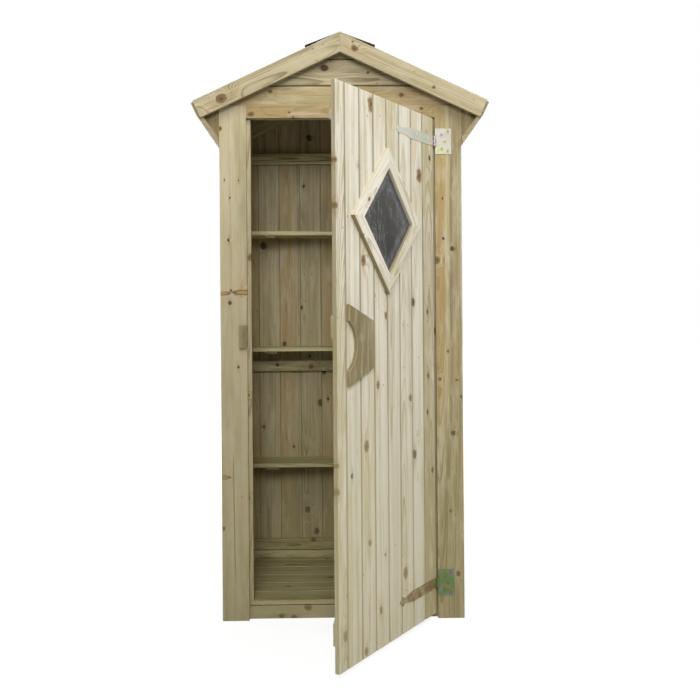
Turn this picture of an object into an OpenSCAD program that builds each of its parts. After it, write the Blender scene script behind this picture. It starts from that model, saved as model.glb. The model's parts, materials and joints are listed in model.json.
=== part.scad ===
// Garden storage cabinet: a narrow timber tool shed with a ridged roof, three shelves and a
// boarded door with a diamond window. X runs across the front, Y runs from front to back and
// Z runs up from the ground. The origin is on the ground under the middle of the body.

/* [Body] */
// Width over the corner boards
body_w = 864; // [760:1:1100]
// Depth from the face of the corner boards to the back of the back wall
body_d = 661; // [540:1:900]
// Height of the corner boards
wall_h = 1837; // [1740:1:2200]
// Thickness of the wall, floor, roof and door boards
board_t = 16; // [12:0.5:22]
// Width of the two corner boards beside the door
corner_board_w = 95; // [60:1:120]
// Height of the lintel board over the door
lintel_h = 45; // [30:1:80]
// Width of the frame battens
batten_w = 44; // [30:1:60]
// Thickness of the frame battens
batten_t = 28; // [18:1:40]
// Thickness of the header behind the lintel
header_t = 16; // [12:1:28]

/* [Floor and shelves] */
// Height of the top of the floor
floor_top = 66; // [50:1:110]
// Height of the top of the lowest shelf
shelf_low = 487; // [300:1:560]
// Rise from one shelf to the next
shelf_rise = 471.5; // [300:0.5:500]
// Depth of each shelf
shelf_d = 184; // [120:1:260]
// Height of the cleats under the shelf ends
cleat_h = 28; // [16:1:40]
// Distance from the middle of the cabinet to the middle of the battens under the shelves
shelf_batten_x = 282; // [150:1:340]
// Thickness of the battens under the shelves
shelf_batten_t = 9; // [6:1:28]
// Distance from the front of the shelves to the battens under them
shelf_batten_in = 6; // [2:1:40]
// Height of the batten that lies on the floor under the bottom back rail
foot_batten_h = 30; // [18:1:80]
// Gap between that batten and the bottom rails
rail_gap = 3; // [1:1:10]
// Height of the underside of the middle rails
rail_mid = 853; // [560:1:880]
// Drop from the top of the corner boards to the underside of the top rails
rail_top_drop = 109; // [60:1:200]

/* [Roof] */
// Slope of the roof in degrees
roof_pitch = 25; // [15:0.5:35]
// Height of the gable boards at their outer ends
gable_end_h = 30; // [16:1:60]
// Reach of the roof beyond the side walls
eave_out = 88; // [60:1:150]
// Reach of the roof beyond the front and back
gable_out = 50; // [30:1:120]
// Width of the barge boards
barge_w = 65; // [40:1:100]
// Thickness of the barge boards
barge_t = 16; // [12:1:25]
// Height of the fascia boards
fascia_h = 50; // [30:1:70]
// Reach of the fascia past the end of the barge boards
fascia_out = 9; // [2:1:14]
// Drop from the top of the corner boards to the foot of the soffit boards
soffit_drop = 147; // [110:1:240]
// Reach of the ridge strip down each side
strip_w = 133; // [60:1:220]
// Thickness of the ridge strip
strip_t = 3; // [2:0.5:5]
// Angle by which the ridge strip stands off the roof boards
strip_spring = 4.4; // [1:0.1:8]
// Width of the rafters under the roof boards
rafter_w = 55; // [40:1:80]
// Clearance in the sloping joints under and behind the roof boards
slope_fit = 0.02; // [0.02:0.01:0.5]

/* [Door] */
// Angle at which the door stands open
door_angle = 58.3; // [0:0.1:115]
// Gap between the door and the corner boards
door_gap = 5.5; // [5.5:0.1:10]
// Gap between the door and the lintel
door_head_gap = 5; // [5:0.1:12]
// Height of the bottom of the door
door_foot = 22; // [12:1:40]
// Gap between the closed door and its stops
stop_gap = 5; // [5:0.1:8]
// Reach of the door stops into the doorway
stop_reach = 14; // [8:1:20]
// Height of the ledges across the back of the door
ledge_h = 68; // [40:1:100]
// Thickness of the ledges
ledge_t = 16; // [10:1:20]
// Gap between the ends of the ledges and the door stops
ledge_gap = 7; // [7:0.5:20]
// Drop from the top of the door to the middle of the middle ledge
middle_ledge_drop = 735; // [600:1:900]

/* [Window] */
// Drop from the top of the door to the middle of the window
window_drop = 396; // [380:1:440]
// Distance from the hinged edge of the door to the middle of the window
window_in = 355; // [300:1:370]
// Distance from the middle of the window frame to its side corners
window_half_w = 224; // [180:1:235]
// Distance from the middle of the window frame to its top and bottom corners
window_half_h = 236; // [180:1:245]
// Width of the window frame slats
frame_w = 44; // [25:1:50]
// Thickness of the window frame slats
frame_t = 15; // [8:0.5:20]
// Thickness of the window pane
pane_t = 4; // [2:0.5:5]
// Width of the rebate that holds the pane
rebate_w = 10; // [5:1:15]
// Gap around the pane in its rebate
pane_fit = 0.3; // [0.1:0.1:1]

/* [Handle] */
// Height of the middle of the handle
handle_z = 995; // [900:1:1080]
// Distance from the free edge of the door to the handle
handle_in = 53; // [30:1:80]
// Height of the handle at its open side
handle_long = 250; // [200:1:280]
// Height of the handle at its closed side
handle_short = 145; // [100:1:180]
// Width of the handle
handle_w = 154; // [120:1:180]
// Thickness of the handle
handle_t = 12; // [8:1:20]
// Radius of the finger cut-out
finger_r = 85; // [60:1:95]
// Depth of the finger cut-out
finger_depth = 46; // [30:1:70]

/* [Hinges] */
// Drop from the top of the door to the middle of the upper hinge
upper_hinge_drop = 81; // [60:1:140]
// Rise from the bottom of the door to the middle of the lower hinge
lower_hinge_rise = 108; // [60:1:200]
// Thickness of the hinge metal
hinge_t = 2.5; // [1.5:0.1:3]
// Height of the hinge plate on the corner board
plate_h = 92; // [60:1:120]
// Width of the hinge plate on the corner board
plate_w = 58; // [30:1:60]
// Length of the strap on the door
strap_len = 278; // [200:1:290]
// Width of the strap
strap_w = 36; // [24:1:44]
// Width of the strap at its neck
neck_w = 16; // [8:1:20]
// Width of the spear point at the end of the strap
spear_w = 31; // [18:1:40]
// Length of the spear point
spear_len = 38; // [20:1:50]
// Radius of the hinge barrel
barrel_r = 5; // [4:0.1:5.4]
// Height of the hinge barrel
barrel_h = 37; // [24:1:50]
// Radius of the hinge pin
pin_r = 2.4; // [1.5:0.1:3]
// Running clearance around the hinge pin
pin_fit = 0.05; // [0.02:0.01:0.1]
// Gap between the knuckles of the barrel
knuckle_gap = 0.4; // [0.2:0.1:1]

/* [Turn button] */
// Height of the middle of the turn button
button_z = 1013; // [900:1:1100]
// Width of the turn button
button_w = 28; // [16:1:34]
// Length of the turn button
button_len = 82; // [60:1:100]
// Thickness of the turn button
button_t = 16; // [10:1:20]
// Distance from the edge of the corner board to the turn button
button_in = 1; // [1:1:20]
// Gap between the back of the turn button and the corner board
button_lift = 5.5; // [5.5:0.1:10]
// Radius of the screw that the turn button swings on
screw_r = 2.5; // [2:0.1:3]
// Radius of the spacer and the head of that screw
screw_head_r = 6; // [4:0.5:8]
// Thickness of the head of that screw
screw_head_t = 2.5; // [2:0.1:4]

/* [Hidden] */
$fn = 64;

pine = [0.76, 0.71, 0.58];
pale_pine = [0.84, 0.81, 0.70];
inner_pine = [0.52, 0.47, 0.35];
felt = [0.25, 0.24, 0.24];
zinc = [0.86, 0.85, 0.70];
smoke = [0.30, 0.30, 0.31, 0.6];

half_w = body_w / 2;
inner_x = half_w - board_t;
// The doorway lies between the corner boards, which are as thick as the door and its stop gap
corner_board_t = board_t + stop_gap;
door_half_opening = half_w - corner_board_w;
back_face = body_d - board_t;
rail_face = back_face - batten_t;
lintel_foot = wall_h - lintel_h;
rail_low = floor_top + foot_batten_h + rail_gap;
rail_top = wall_h - rail_top_drop;
bearer_h = floor_top - board_t;
rail_feet = [rail_low, rail_mid, rail_top];

// Roof lines, as points across the front: s runs down the slope from the ridge and n stands
// off the top of the roof boards
roof_top_z = wall_h + gable_end_h + half_w * tan(roof_pitch) + board_t / cos(roof_pitch);
function on_roof(s, n) = [
    s * cos(roof_pitch) + n * sin(roof_pitch),
    roof_top_z - s * sin(roof_pitch) + n * cos(roof_pitch)
];
function under_roof_z(x, depth) = roof_top_z - depth / cos(roof_pitch) - x * tan(roof_pitch);
barge_s = (half_w + eave_out) / cos(roof_pitch);
fascia_s = barge_s + fascia_out;
fascia_in_s = fascia_s - board_t;
roof_s = fascia_in_s - slope_fit;
roof_front = -gable_out + barge_t;
roof_back = body_d + gable_out - barge_t;

// Height that what stands under the roof boards reaches
seat_depth = board_t + slope_fit;

// The soffit runs from under the fascia down to the side wall, and laps behind the fascia
soffit_foot = [half_w, wall_h - soffit_drop];
soffit_toe = on_roof(fascia_s, -fascia_h - slope_fit);
soffit_lap = on_roof(roof_s, -fascia_h - slope_fit);
soffit_run = soffit_toe - soffit_foot;
soffit_dir = soffit_run / norm(soffit_run);
soffit_top_foot = soffit_foot + [0, board_t / soffit_dir.x];
// Where the inner face of the soffit meets the back of its lap
soffit_down_slope = soffit_dir * [cos(roof_pitch), -sin(roof_pitch)];
lap_down_slope = (soffit_lap - soffit_top_foot) * [cos(roof_pitch), -sin(roof_pitch)];
soffit_heel = soffit_top_foot + soffit_dir * lap_down_slope / soffit_down_slope;

// Door, drawn shut and then swung about the hinge axis, which lies a little inside the edge
// of the doorway and holds the barrel just clear of the boards
axis_in = 1;
barrel_gap = 0.5;
door_half_w = door_half_opening - door_gap;
door_top = lintel_foot - door_head_gap;
hinge_x = door_half_opening - axis_in;
hinge_y = -barrel_r - barrel_gap;
hinge_heights = [door_foot + lower_hinge_rise, door_top - upper_hinge_drop];
ledge_half_w = door_half_opening - stop_reach - ledge_gap;
ledge_heights = [hinge_heights[0], door_top - middle_ledge_drop, hinge_heights[1]];
window_x = door_half_w - window_in;
window_z = door_top - window_drop;
handle_x = -door_half_w + handle_in;

// Hinge: the strap turns on the middle knuckle, the plate carries the two outer ones. Both
// are cut back beside the barrel, and the plate reaches past it above and below.
strap_start = barrel_r + 2;
plate_in = 0.5;
plate_notch = 1.5;
knuckle_h = (barrel_h - 2 * knuckle_gap) / 3;
knuckle_step = knuckle_h + knuckle_gap;
bore_r = pin_r + pin_fit;

button_x = -door_half_opening - button_in - button_w / 2;
button_back = -button_lift;
button_front = button_back - button_t;
button_play = 0.4;

// How far a cutting shape runs past the faces that it cuts
past = 1;

module from_front() translate([0, -body_d / 2, 0]) children();

module block(x, y, z) translate([x[0], y[0], z[0]])
    cube([x[1] - x[0], y[1] - y[0], z[1] - z[0]]);

// A flat shape drawn across the front, made thick from y[0] to y[1]
module across(y) translate([0, y[1], 0]) rotate([90, 0, 0])
    linear_extrude(y[1] - y[0]) children();

module flipped() mirror([1, 0, 0]) children();

module both_sides() {
    children();
    flipped() children();
}

module swung() translate([hinge_x, hinge_y, 0]) rotate([0, 0, door_angle])
    translate([-hinge_x, -hinge_y, 0]) children();

// ---- walls and frame

module corner_board() block([door_half_opening, half_w], [0, corner_board_t], [0, wall_h]);

module corner_board_right() color(pine) from_front() corner_board();

module corner_board_left() color(pine) from_front() flipped() corner_board();

module lintel() color(pine) from_front()
    block([-door_half_opening, door_half_opening], [0, corner_board_t], [lintel_foot, wall_h]);

module header() color(inner_pine) from_front()
    block([-inner_x, inner_x], [corner_board_t, corner_board_t + header_t],
          [lintel_foot, lintel_foot + batten_w]);

module door_stop() {
    stop_x = door_half_opening - stop_reach;
    block([stop_x, stop_x + batten_w], [corner_board_t, corner_board_t + batten_t],
          [floor_top, lintel_foot]);
}

module door_stop_right() color(pine) from_front() door_stop();

module door_stop_left() color(pine) from_front() flipped() door_stop();

// A wall across the cabinet, from its foot up to the roof boards
module gabled_wall(y, foot) across(y) polygon([
    [-half_w, foot], [half_w, foot], [half_w, under_roof_z(half_w, seat_depth)],
    [0, under_roof_z(0, seat_depth)], [-half_w, under_roof_z(half_w, seat_depth)]
]);

module front_gable() color(pine) from_front()
    gabled_wall([stop_gap, corner_board_t], wall_h);

module back_wall() color(pine) from_front() gabled_wall([back_face, body_d], 0);

module side_wall() across([corner_board_t, back_face]) polygon([
    [inner_x, 0], [half_w, 0],
    [half_w, under_roof_z(half_w, seat_depth)], [inner_x, under_roof_z(inner_x, seat_depth)]
]);

module side_wall_right() color(pine) from_front() side_wall();

module side_wall_left() color(pine) from_front() flipped() side_wall();

module side_rails() color(inner_pine) from_front() both_sides()
    for (foot = rail_feet)
        block([inner_x - batten_t, inner_x], [corner_board_t, rail_face],
              [foot, foot + batten_w]);

module back_rails() color(inner_pine) from_front() {
    for (foot = rail_feet)
        block([-inner_x, inner_x], [rail_face, back_face], [foot, foot + batten_w]);
    block([-inner_x, inner_x], [rail_face, back_face], [floor_top, floor_top + foot_batten_h]);
}

// ---- floor and shelves

module sill_board() color(pine) from_front()
    block([-inner_x, inner_x], [corner_board_t, corner_board_t + batten_t], [0, bearer_h]);

module floor_bearers() color(inner_pine) from_front() {
    for (x = [-inner_x, -batten_t / 2, inner_x - batten_t])
        block([x, x + batten_t], [corner_board_t + batten_t, rail_face], [0, bearer_h]);
    block([-inner_x, inner_x], [rail_face, back_face], [0, bearer_h]);
}

module floor_boards() color(inner_pine) from_front()
    block([-inner_x, inner_x], [corner_board_t, back_face], [bearer_h, floor_top]);

module shelf(top) color(inner_pine) from_front()
    block([-inner_x, inner_x], [back_face - shelf_d, back_face], [top - board_t, top]);

module shelf_low_board() shelf(shelf_low);

module shelf_mid_board() shelf(shelf_low + shelf_rise);

module shelf_top_board() shelf(shelf_low + 2 * shelf_rise);

module shelf_cleats() color(inner_pine) from_front() both_sides()
    for (level = [0:2]) {
        top = shelf_low + level * shelf_rise - board_t;
        block([inner_x - batten_t, inner_x], [back_face - shelf_d, back_face],
              [top - cleat_h, top]);
    }

module shelf_battens() color(inner_pine) from_front() both_sides()
    for (level = [0:2]) {
        top = shelf_low + level * shelf_rise - board_t;
        block([shelf_batten_x - batten_w / 2, shelf_batten_x + batten_w / 2],
              [back_face - shelf_d + shelf_batten_in, back_face],
              [top - shelf_batten_t, top]);
    }

// ---- roof

// A rafter is cut off level where it meets the header
module rafter(y) intersection() {
    across(y) polygon([
        [0, under_roof_z(0, seat_depth)], [inner_x, under_roof_z(inner_x, seat_depth)],
        [inner_x, under_roof_z(inner_x, seat_depth + rafter_w)],
        [0, under_roof_z(0, seat_depth + rafter_w)]
    ]);
    block([0, inner_x], y, [lintel_foot + batten_w, roof_top_z]);
}

module rafters() color(inner_pine) from_front() both_sides() {
    rafter([corner_board_t, corner_board_t + batten_t]);
    rafter([rail_face, back_face]);
}

module roof_side() across([roof_front, roof_back]) polygon([
    on_roof(0, 0), on_roof(roof_s, 0), on_roof(roof_s, -board_t),
    [0, under_roof_z(0, board_t)]
]);

module roof_right() color(pine) from_front() roof_side();

module roof_left() color(pine) from_front() flipped() roof_side();

module barge(y) across(y) polygon([
    on_roof(0, 0), on_roof(barge_s, 0), on_roof(barge_s, -barge_w),
    [0, under_roof_z(0, barge_w)]
]);

module barge_front_right() color(pine) from_front() barge([-gable_out, roof_front]);

module barge_front_left() color(pine) from_front() flipped() barge([-gable_out, roof_front]);

module barge_back_right() color(pine) from_front()
    barge([roof_back, body_d + gable_out]);

module barge_back_left() color(pine) from_front() flipped()
    barge([roof_back, body_d + gable_out]);

module fascia() across([roof_front, roof_back]) polygon([
    on_roof(fascia_in_s, 0), on_roof(fascia_s, 0),
    on_roof(fascia_s, -fascia_h), on_roof(fascia_in_s, -fascia_h)
]);

module fascia_right() color(pine) from_front() fascia();

module fascia_left() color(pine) from_front() flipped() fascia();

module soffit() across([roof_front, roof_back]) polygon([
    soffit_foot, soffit_toe, soffit_lap, soffit_heel, soffit_top_foot
]);

module soffit_right() color(pine) from_front() soffit();

module soffit_left() color(pine) from_front() flipped() soffit();

module eave_infill(y) across(y) polygon([
    soffit_top_foot, soffit_heel, on_roof(roof_s, -seat_depth),
    [half_w, under_roof_z(half_w, seat_depth)]
]);

module eave_infills() color(pine) from_front() both_sides() {
    eave_infill([0, board_t]);
    eave_infill([back_face, body_d]);
}

module strip_side() {
    strip_pitch = roof_pitch - strip_spring;
    across([roof_front, roof_back]) translate([0, roof_top_z]) polygon([
        [0, 0], [strip_w * cos(strip_pitch), -strip_w * sin(strip_pitch)],
        [strip_w * cos(strip_pitch) + strip_t * sin(strip_pitch),
         strip_t * cos(strip_pitch) - strip_w * sin(strip_pitch)],
        [0, strip_t / cos(strip_pitch)]
    ]);
}

module ridge_strip() color(felt) from_front() both_sides() strip_side();

// ---- door

module door_boards() color(pale_pine) from_front() swung() difference() {
    block([-door_half_w, door_half_w], [0, board_t], [door_foot, door_top]);
    across([-past, board_t + past]) diamond(frame_w);
}

module door_ledges() color(pale_pine) from_front() swung()
    for (z = ledge_heights)
        block([-ledge_half_w, ledge_half_w], [board_t, board_t + ledge_t],
              [z - ledge_h / 2, z + ledge_h / 2]);

// The brace rises from the free end of the lowest ledge to the hinged end of the middle one
module door_brace() color(pale_pine) from_front() swung() {
    foot = ledge_heights[0] + ledge_h / 2;
    head = ledge_heights[1] - ledge_h / 2;
    lean = atan2(2 * ledge_half_w, head - foot);
    // The slope of a board that fits corner to corner, from its width and the space
    brace_lean = lean - asin(ledge_h * cos(lean) / (head - foot));
    brace_run = ledge_h / cos(brace_lean);
    across([board_t, board_t + ledge_t]) polygon([
        [-ledge_half_w, foot], [-ledge_half_w + brace_run, foot],
        [ledge_half_w, head], [ledge_half_w - brace_run, head]
    ]);
}

// The window outline, drawn in by a width measured square to its sides
module diamond(inset) {
    side = norm([window_half_w, window_half_h]);
    half_x = window_half_w - inset * side / window_half_h;
    half_z = window_half_h - inset * side / window_half_w;
    translate([window_x, window_z])
        polygon([[half_x, 0], [0, half_z], [-half_x, 0], [0, -half_z]]);
}

module window_frame() color(pale_pine) from_front() swung() difference() {
    across([-frame_t, 0]) diamond(0);
    across([-frame_t - past, past]) diamond(frame_w);
    across([-pane_t - pane_fit, past]) diamond(frame_w - rebate_w);
}

module window_pane() color(smoke) from_front() swung()
    across([-pane_t, 0]) diamond(frame_w - rebate_w + pane_fit);

module door_handle() color(pine) from_front() swung() difference() {
    across([-handle_t, 0]) translate([handle_x, handle_z]) polygon([
        [0, -handle_long / 2], [handle_w, -handle_short / 2],
        [handle_w, handle_short / 2], [0, handle_long / 2]
    ]);
    translate([handle_x + finger_depth - finger_r, past, handle_z]) rotate([90, 0, 0])
        cylinder(r = finger_r, h = handle_t + 2 * past, $fn = 128);
}

// ---- hinges

module knuckle(step) translate([hinge_x, hinge_y, step * knuckle_step - knuckle_h / 2])
    difference() {
        union() {
            cylinder(r = barrel_r, h = knuckle_h);
            children();
        }
        translate([0, 0, -past]) cylinder(r = bore_r, h = knuckle_h + 2 * past);
    }

// The leaf beside a knuckle, from the barrel out to the flat metal
module knuckle_leaf() translate([0, -hinge_y - hinge_t, 0])
    cube([strap_start, hinge_t, knuckle_h]);

module hinge_plate() {
    plate_x = door_half_opening + plate_in;
    notch_x = hinge_x + strap_start;
    notch_z = barrel_h / 2 + plate_notch;
    across([-hinge_t, 0]) polygon([
        [plate_x, -plate_h / 2], [plate_x + plate_w, -plate_h / 2],
        [plate_x + plate_w, plate_h / 2], [plate_x, plate_h / 2],
        [plate_x, notch_z], [notch_x, notch_z], [notch_x, -notch_z], [plate_x, -notch_z]
    ]);
    for (step = [-1, 1]) knuckle(step) knuckle_leaf();
}

module hinge_plates() color(zinc) from_front()
    for (z = hinge_heights) translate([0, 0, z]) hinge_plate();

module strap() {
    knuckle(0) flipped() knuckle_leaf();
    across([-hinge_t, 0]) translate([hinge_x - strap_start, 0]) {
        barb_x = -strap_len + spear_len * 0.6;
        neck_x = -strap_len + spear_len;
        shoulder_x = -strap_len * 0.64;
        polygon([
            [0, strap_w / 2], [shoulder_x, strap_w / 2], [neck_x, neck_w / 2],
            [barb_x, spear_w / 2], [-strap_len, 0], [barb_x, -spear_w / 2],
            [neck_x, -neck_w / 2], [shoulder_x, -strap_w / 2], [0, -strap_w / 2]
        ]);
    }
}

module hinge_strap_lower() color(zinc) from_front() swung()
    translate([0, 0, hinge_heights[0]]) strap();

module hinge_strap_upper() color(zinc) from_front() swung()
    translate([0, 0, hinge_heights[1]]) strap();

module hinge_pins() color(zinc) from_front()
    for (z = hinge_heights)
        translate([hinge_x, hinge_y, z - barrel_h / 2]) cylinder(r = pin_r, h = barrel_h);

// ---- turn button

module turn_button() color(pine) from_front() difference() {
    block([button_x - button_w / 2, button_x + button_w / 2], [button_front, button_back],
          [button_z - button_len / 2, button_z + button_len / 2]);
    translate([button_x, button_back + past, button_z]) rotate([90, 0, 0])
        cylinder(r = screw_r + pin_fit, h = button_t + 2 * past);
}

module button_screw() color(zinc) from_front() translate([button_x, 0, button_z])
    rotate([90, 0, 0]) {
        cylinder(r = screw_head_r, h = button_lift - button_play);
        cylinder(r = screw_r, h = button_lift + button_t + button_play + screw_head_t);
        translate([0, 0, button_lift + button_t + button_play])
            cylinder(r = screw_head_r, h = screw_head_t);
    }

corner_board_left();
corner_board_right();
lintel();
header();
door_stop_left();
door_stop_right();
front_gable();
sill_board();
floor_bearers();
floor_boards();
side_wall_left();
side_wall_right();
back_wall();
side_rails();
back_rails();
shelf_low_board();
shelf_mid_board();
shelf_top_board();
shelf_cleats();
shelf_battens();
rafters();
roof_left();
roof_right();
ridge_strip();
barge_front_left();
barge_front_right();
barge_back_left();
barge_back_right();
fascia_left();
fascia_right();
soffit_left();
soffit_right();
eave_infills();
hinge_plates();
hinge_pins();
button_screw();
door_boards();
door_ledges();
door_brace();
window_frame();
window_pane();
door_handle();
hinge_strap_upper();
hinge_strap_lower();
turn_button();
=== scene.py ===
"""Garden storage cabinet: the finished boards, metal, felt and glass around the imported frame."""

import json
import math
import random

import bmesh
import bpy
from mathutils import Matrix, Vector


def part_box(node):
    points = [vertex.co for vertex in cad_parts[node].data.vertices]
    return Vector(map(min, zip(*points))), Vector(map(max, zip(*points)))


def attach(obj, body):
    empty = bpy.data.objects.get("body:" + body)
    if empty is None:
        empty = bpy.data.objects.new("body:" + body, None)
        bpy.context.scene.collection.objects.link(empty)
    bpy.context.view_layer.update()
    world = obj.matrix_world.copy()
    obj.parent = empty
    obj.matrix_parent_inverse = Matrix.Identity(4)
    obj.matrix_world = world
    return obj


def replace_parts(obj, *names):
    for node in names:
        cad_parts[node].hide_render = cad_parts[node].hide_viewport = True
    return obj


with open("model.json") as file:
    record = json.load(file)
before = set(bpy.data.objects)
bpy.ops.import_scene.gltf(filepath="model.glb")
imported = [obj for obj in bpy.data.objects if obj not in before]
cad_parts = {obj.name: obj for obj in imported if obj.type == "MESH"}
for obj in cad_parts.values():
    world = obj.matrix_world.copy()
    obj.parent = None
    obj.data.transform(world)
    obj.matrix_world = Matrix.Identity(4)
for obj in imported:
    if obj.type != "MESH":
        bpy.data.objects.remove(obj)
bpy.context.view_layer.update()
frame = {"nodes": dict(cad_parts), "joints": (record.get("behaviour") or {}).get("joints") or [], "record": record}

MM = 0.001
X, Y, Z = Vector((1, 0, 0)), Vector((0, 1, 0)), Vector((0, 0, 1))
scene = bpy.context.scene


def link(name, data):
    """Puts a mesh, a light or a camera in the scene"""
    item = bpy.data.objects.new(name, data)
    scene.collection.objects.link(item)
    return item


def link_bmesh(name, bm):
    """Puts a bmesh in the scene, and frees it"""
    mesh = bpy.data.meshes.new(name)
    bm.to_mesh(mesh)
    bm.free()
    return link(name, mesh)


# ---- camera, lights and floor

SENSOR = 36
FOCAL_WIDTHS = 931.6 / 700
CAMERA_AT = Vector((-0.030, -3.657, 1.0836))
CAMERA_YAW = 0.0178
CAMERA_ROLL = -0.0076
CAMERA_SHIFT = -0.0484


def make_camera():
    data = bpy.data.cameras.new("camera")
    data.sensor_width = SENSOR
    data.lens = FOCAL_WIDTHS * SENSOR
    data.shift_y = CAMERA_SHIFT
    forward = Vector((math.sin(CAMERA_YAW), math.cos(CAMERA_YAW), 0))
    level = Vector((math.cos(CAMERA_YAW), -math.sin(CAMERA_YAW), 0))
    right = level * math.cos(CAMERA_ROLL) + Z * math.sin(CAMERA_ROLL)
    up = Z * math.cos(CAMERA_ROLL) - level * math.sin(CAMERA_ROLL)
    camera = link("camera", data)
    camera.matrix_world = Matrix.Translation(CAMERA_AT) @ Matrix((right, up, -forward)).transposed().to_4x4()
    scene.camera = camera


def area_light(name, at, target, size, power):
    data = bpy.data.lights.new(name, "AREA")
    data.shape = "DISK"
    data.size = size
    data.energy = power
    light = link(name, data)
    light.location = at
    light.rotation_mode = "QUATERNION"
    light.rotation_quaternion = (Vector(target) - Vector(at)).to_track_quat("-Z", "Y")


def linear(colour):
    """A colour as it looks on screen, "#rrggbb", as the linear colour that a shader takes"""
    values = [int(colour[i:i + 2], 16) / 255 for i in (1, 3, 5)]
    return (*(v / 12.92 if v <= 0.04045 else ((v + 0.055) / 1.055) ** 2.4 for v in values), 1.0)


class Nodes:
    """A node tree with short names for the nodes used here. A value is a socket, a number or a colour."""

    def __init__(self, owner):
        owner.use_nodes = True
        self.tree = owner.node_tree
        self.tree.nodes.clear()

    def feed(self, socket, value):
        if isinstance(value, bpy.types.NodeSocket):
            self.tree.links.new(value, socket)
        else:
            socket.default_value = linear(value) if isinstance(value, str) else value

    def add(self, kind, inputs=None, **settings):
        node = self.tree.nodes.new("ShaderNode" + kind)
        for name, value in settings.items():
            setattr(node, name, value)
        for name, value in (inputs or {}).items():
            self.feed(node.inputs[name], value)
        return node

    def math(self, operation, *values, clamp=False):
        node = self.add("Math", operation=operation, use_clamp=clamp)
        for socket, value in zip(node.inputs, values):
            self.feed(socket, value)
        return node.outputs[0]

    def times(self, a, b):
        return self.math("MULTIPLY", a, b)

    def less(self, a, b):
        return self.math("SUBTRACT", a, b)

    def line(self, value, slope, base, clamp=False):
        """value * slope + base"""
        return self.math("MULTIPLY_ADD", value, slope, base, clamp=clamp)

    def hypot(self, a, b):
        return self.math("SQRT", self.math("ADD", self.times(a, a), self.times(b, b)))

    def bell(self, value, squeeze):
        """A smooth hump around 0"""
        value = self.times(value, squeeze)
        return self.math("EXPONENT", self.times(self.times(value, value), -1.0))

    def hill(self, u, squeeze_u, v, squeeze_v):
        return self.times(self.bell(u, squeeze_u), self.bell(v, squeeze_v))

    def step(self, value, low, high):
        """0 at low, 1 at high and smooth between them"""
        inputs = {"Value": value, "From Min": low, "From Max": high}
        return self.add("MapRange", inputs, interpolation_type="SMOOTHSTEP").outputs[0]

    def fade(self, value, low, high):
        """1 at low, 0 at high and smooth between them"""
        return self.less(1.0, self.step(value, low, high))

    def vector(self, operation, *values):
        return self.add("VectorMath", dict(enumerate(values)), operation=operation).outputs[0]

    def scaled(self, vector, factors):
        return self.vector("MULTIPLY", vector, factors)

    def split(self, vector):
        return self.add("SeparateXYZ", {0: vector}).outputs[:3]

    def on_x(self, value):
        return self.add("CombineXYZ", {0: value}).outputs[0]

    def attribute(self, name):
        return self.add("Attribute", attribute_name=name).outputs["Vector"]

    def place(self):
        return self.add("TexCoord").outputs["Object"]

    def noise(self, vector, seed, scale=1.0, detail=2.0, roughness=0.5):
        inputs = {"Vector": vector, "W": seed, "Scale": scale, "Detail": detail, "Roughness": roughness}
        return self.add("TexNoise", inputs, noise_dimensions="4D").outputs[0]

    def scattered(self, grain, seed, cells, size, share):
        """Spots over the face of a board, one to a cell, in the cells above a share"""
        place = self.vector("ADD", self.scaled(grain, (*cells, 1)), self.on_x(self.times(seed, 3.7)))
        spots = self.add("TexVoronoi", {"Vector": place, "Scale": 1.0}, voronoi_dimensions="2D").outputs
        chosen = self.math("GREATER_THAN", self.split(spots["Color"])[0], share)
        return self.times(self.fade(spots["Distance"], size * 0.5, size), chosen)

    def blend(self, factor, a, b):
        node = self.add("Mix", data_type="RGBA")
        for index, value in ((0, factor), (6, a), (7, b)):
            self.feed(node.inputs[index], value)
        return node.outputs[2]

    def coats(self, colour, *coats):
        """colour under coats of (paint, where, at most how much)"""
        for paint, where, most in coats:
            colour = self.blend(self.times(where, most), colour, paint)
        return colour

    def bump(self, height, strength, distance):
        return self.add("Bump", {"Height": height, "Strength": strength, "Distance": distance}).outputs[0]

    def seen_directly(self):
        """1 for what the camera sees, straight or in metal and glass"""
        path = self.add("LightPath").outputs
        mirrored = self.math("MAXIMUM", path["Is Glossy Ray"], path["Is Transmission Ray"])
        return self.math("MAXIMUM", path["Is Camera Ray"], mirrored)

    def finish(self, output, shader):
        self.add(output, {"Surface": shader.outputs[0]})


WHITE = (1.0, 1.0, 1.0, 1.0)
FLOOR_GREY = (0.85, 0.85, 0.85, 1.0)
FLOOR_REACH = 30
FLOOR_GLOW = 1.3
LEAST_GLOW = 0.66
AMBIENT = 0.03


def make_world():
    """White to the camera, and dim to everything else, so that the lights do the lighting"""
    world = bpy.data.worlds.new("studio")
    scene.world = world
    n = Nodes(world)
    strength = n.line(n.seen_directly(), 1.0 - AMBIENT, AMBIENT)
    n.finish("OutputWorld", n.add("Background", {"Color": WHITE, "Strength": strength}))


def make_floor():
    """Shows soft shadows near the cabinet, and fades into the white around it"""
    mesh = bpy.data.meshes.new("floor")
    corners = [(x * FLOOR_REACH, y * FLOOR_REACH, 0) for x, y in ((-1, -1), (1, -1), (1, 1), (-1, 1))]
    mesh.from_pydata(corners, [], [(0, 1, 2, 3)])
    floor = link("floor", mesh)
    material = bpy.data.materials.new("floor")
    n = Nodes(material)
    away = n.add("VectorMath", {0: n.place()}, operation="LENGTH").outputs["Value"]
    glow = n.math("MAXIMUM", n.step(away, 0.8, 2.4), LEAST_GLOW)
    white = n.add("Emission", {"Color": WHITE, "Strength": FLOOR_GLOW})
    plain = n.add("BsdfDiffuse", {"Color": FLOOR_GREY})
    share = n.times(n.seen_directly(), glow)
    n.finish("OutputMaterial", n.add("MixShader", {0: share, 1: plain.outputs[0], 2: white.outputs[0]}))
    mesh.materials.append(material)


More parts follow.
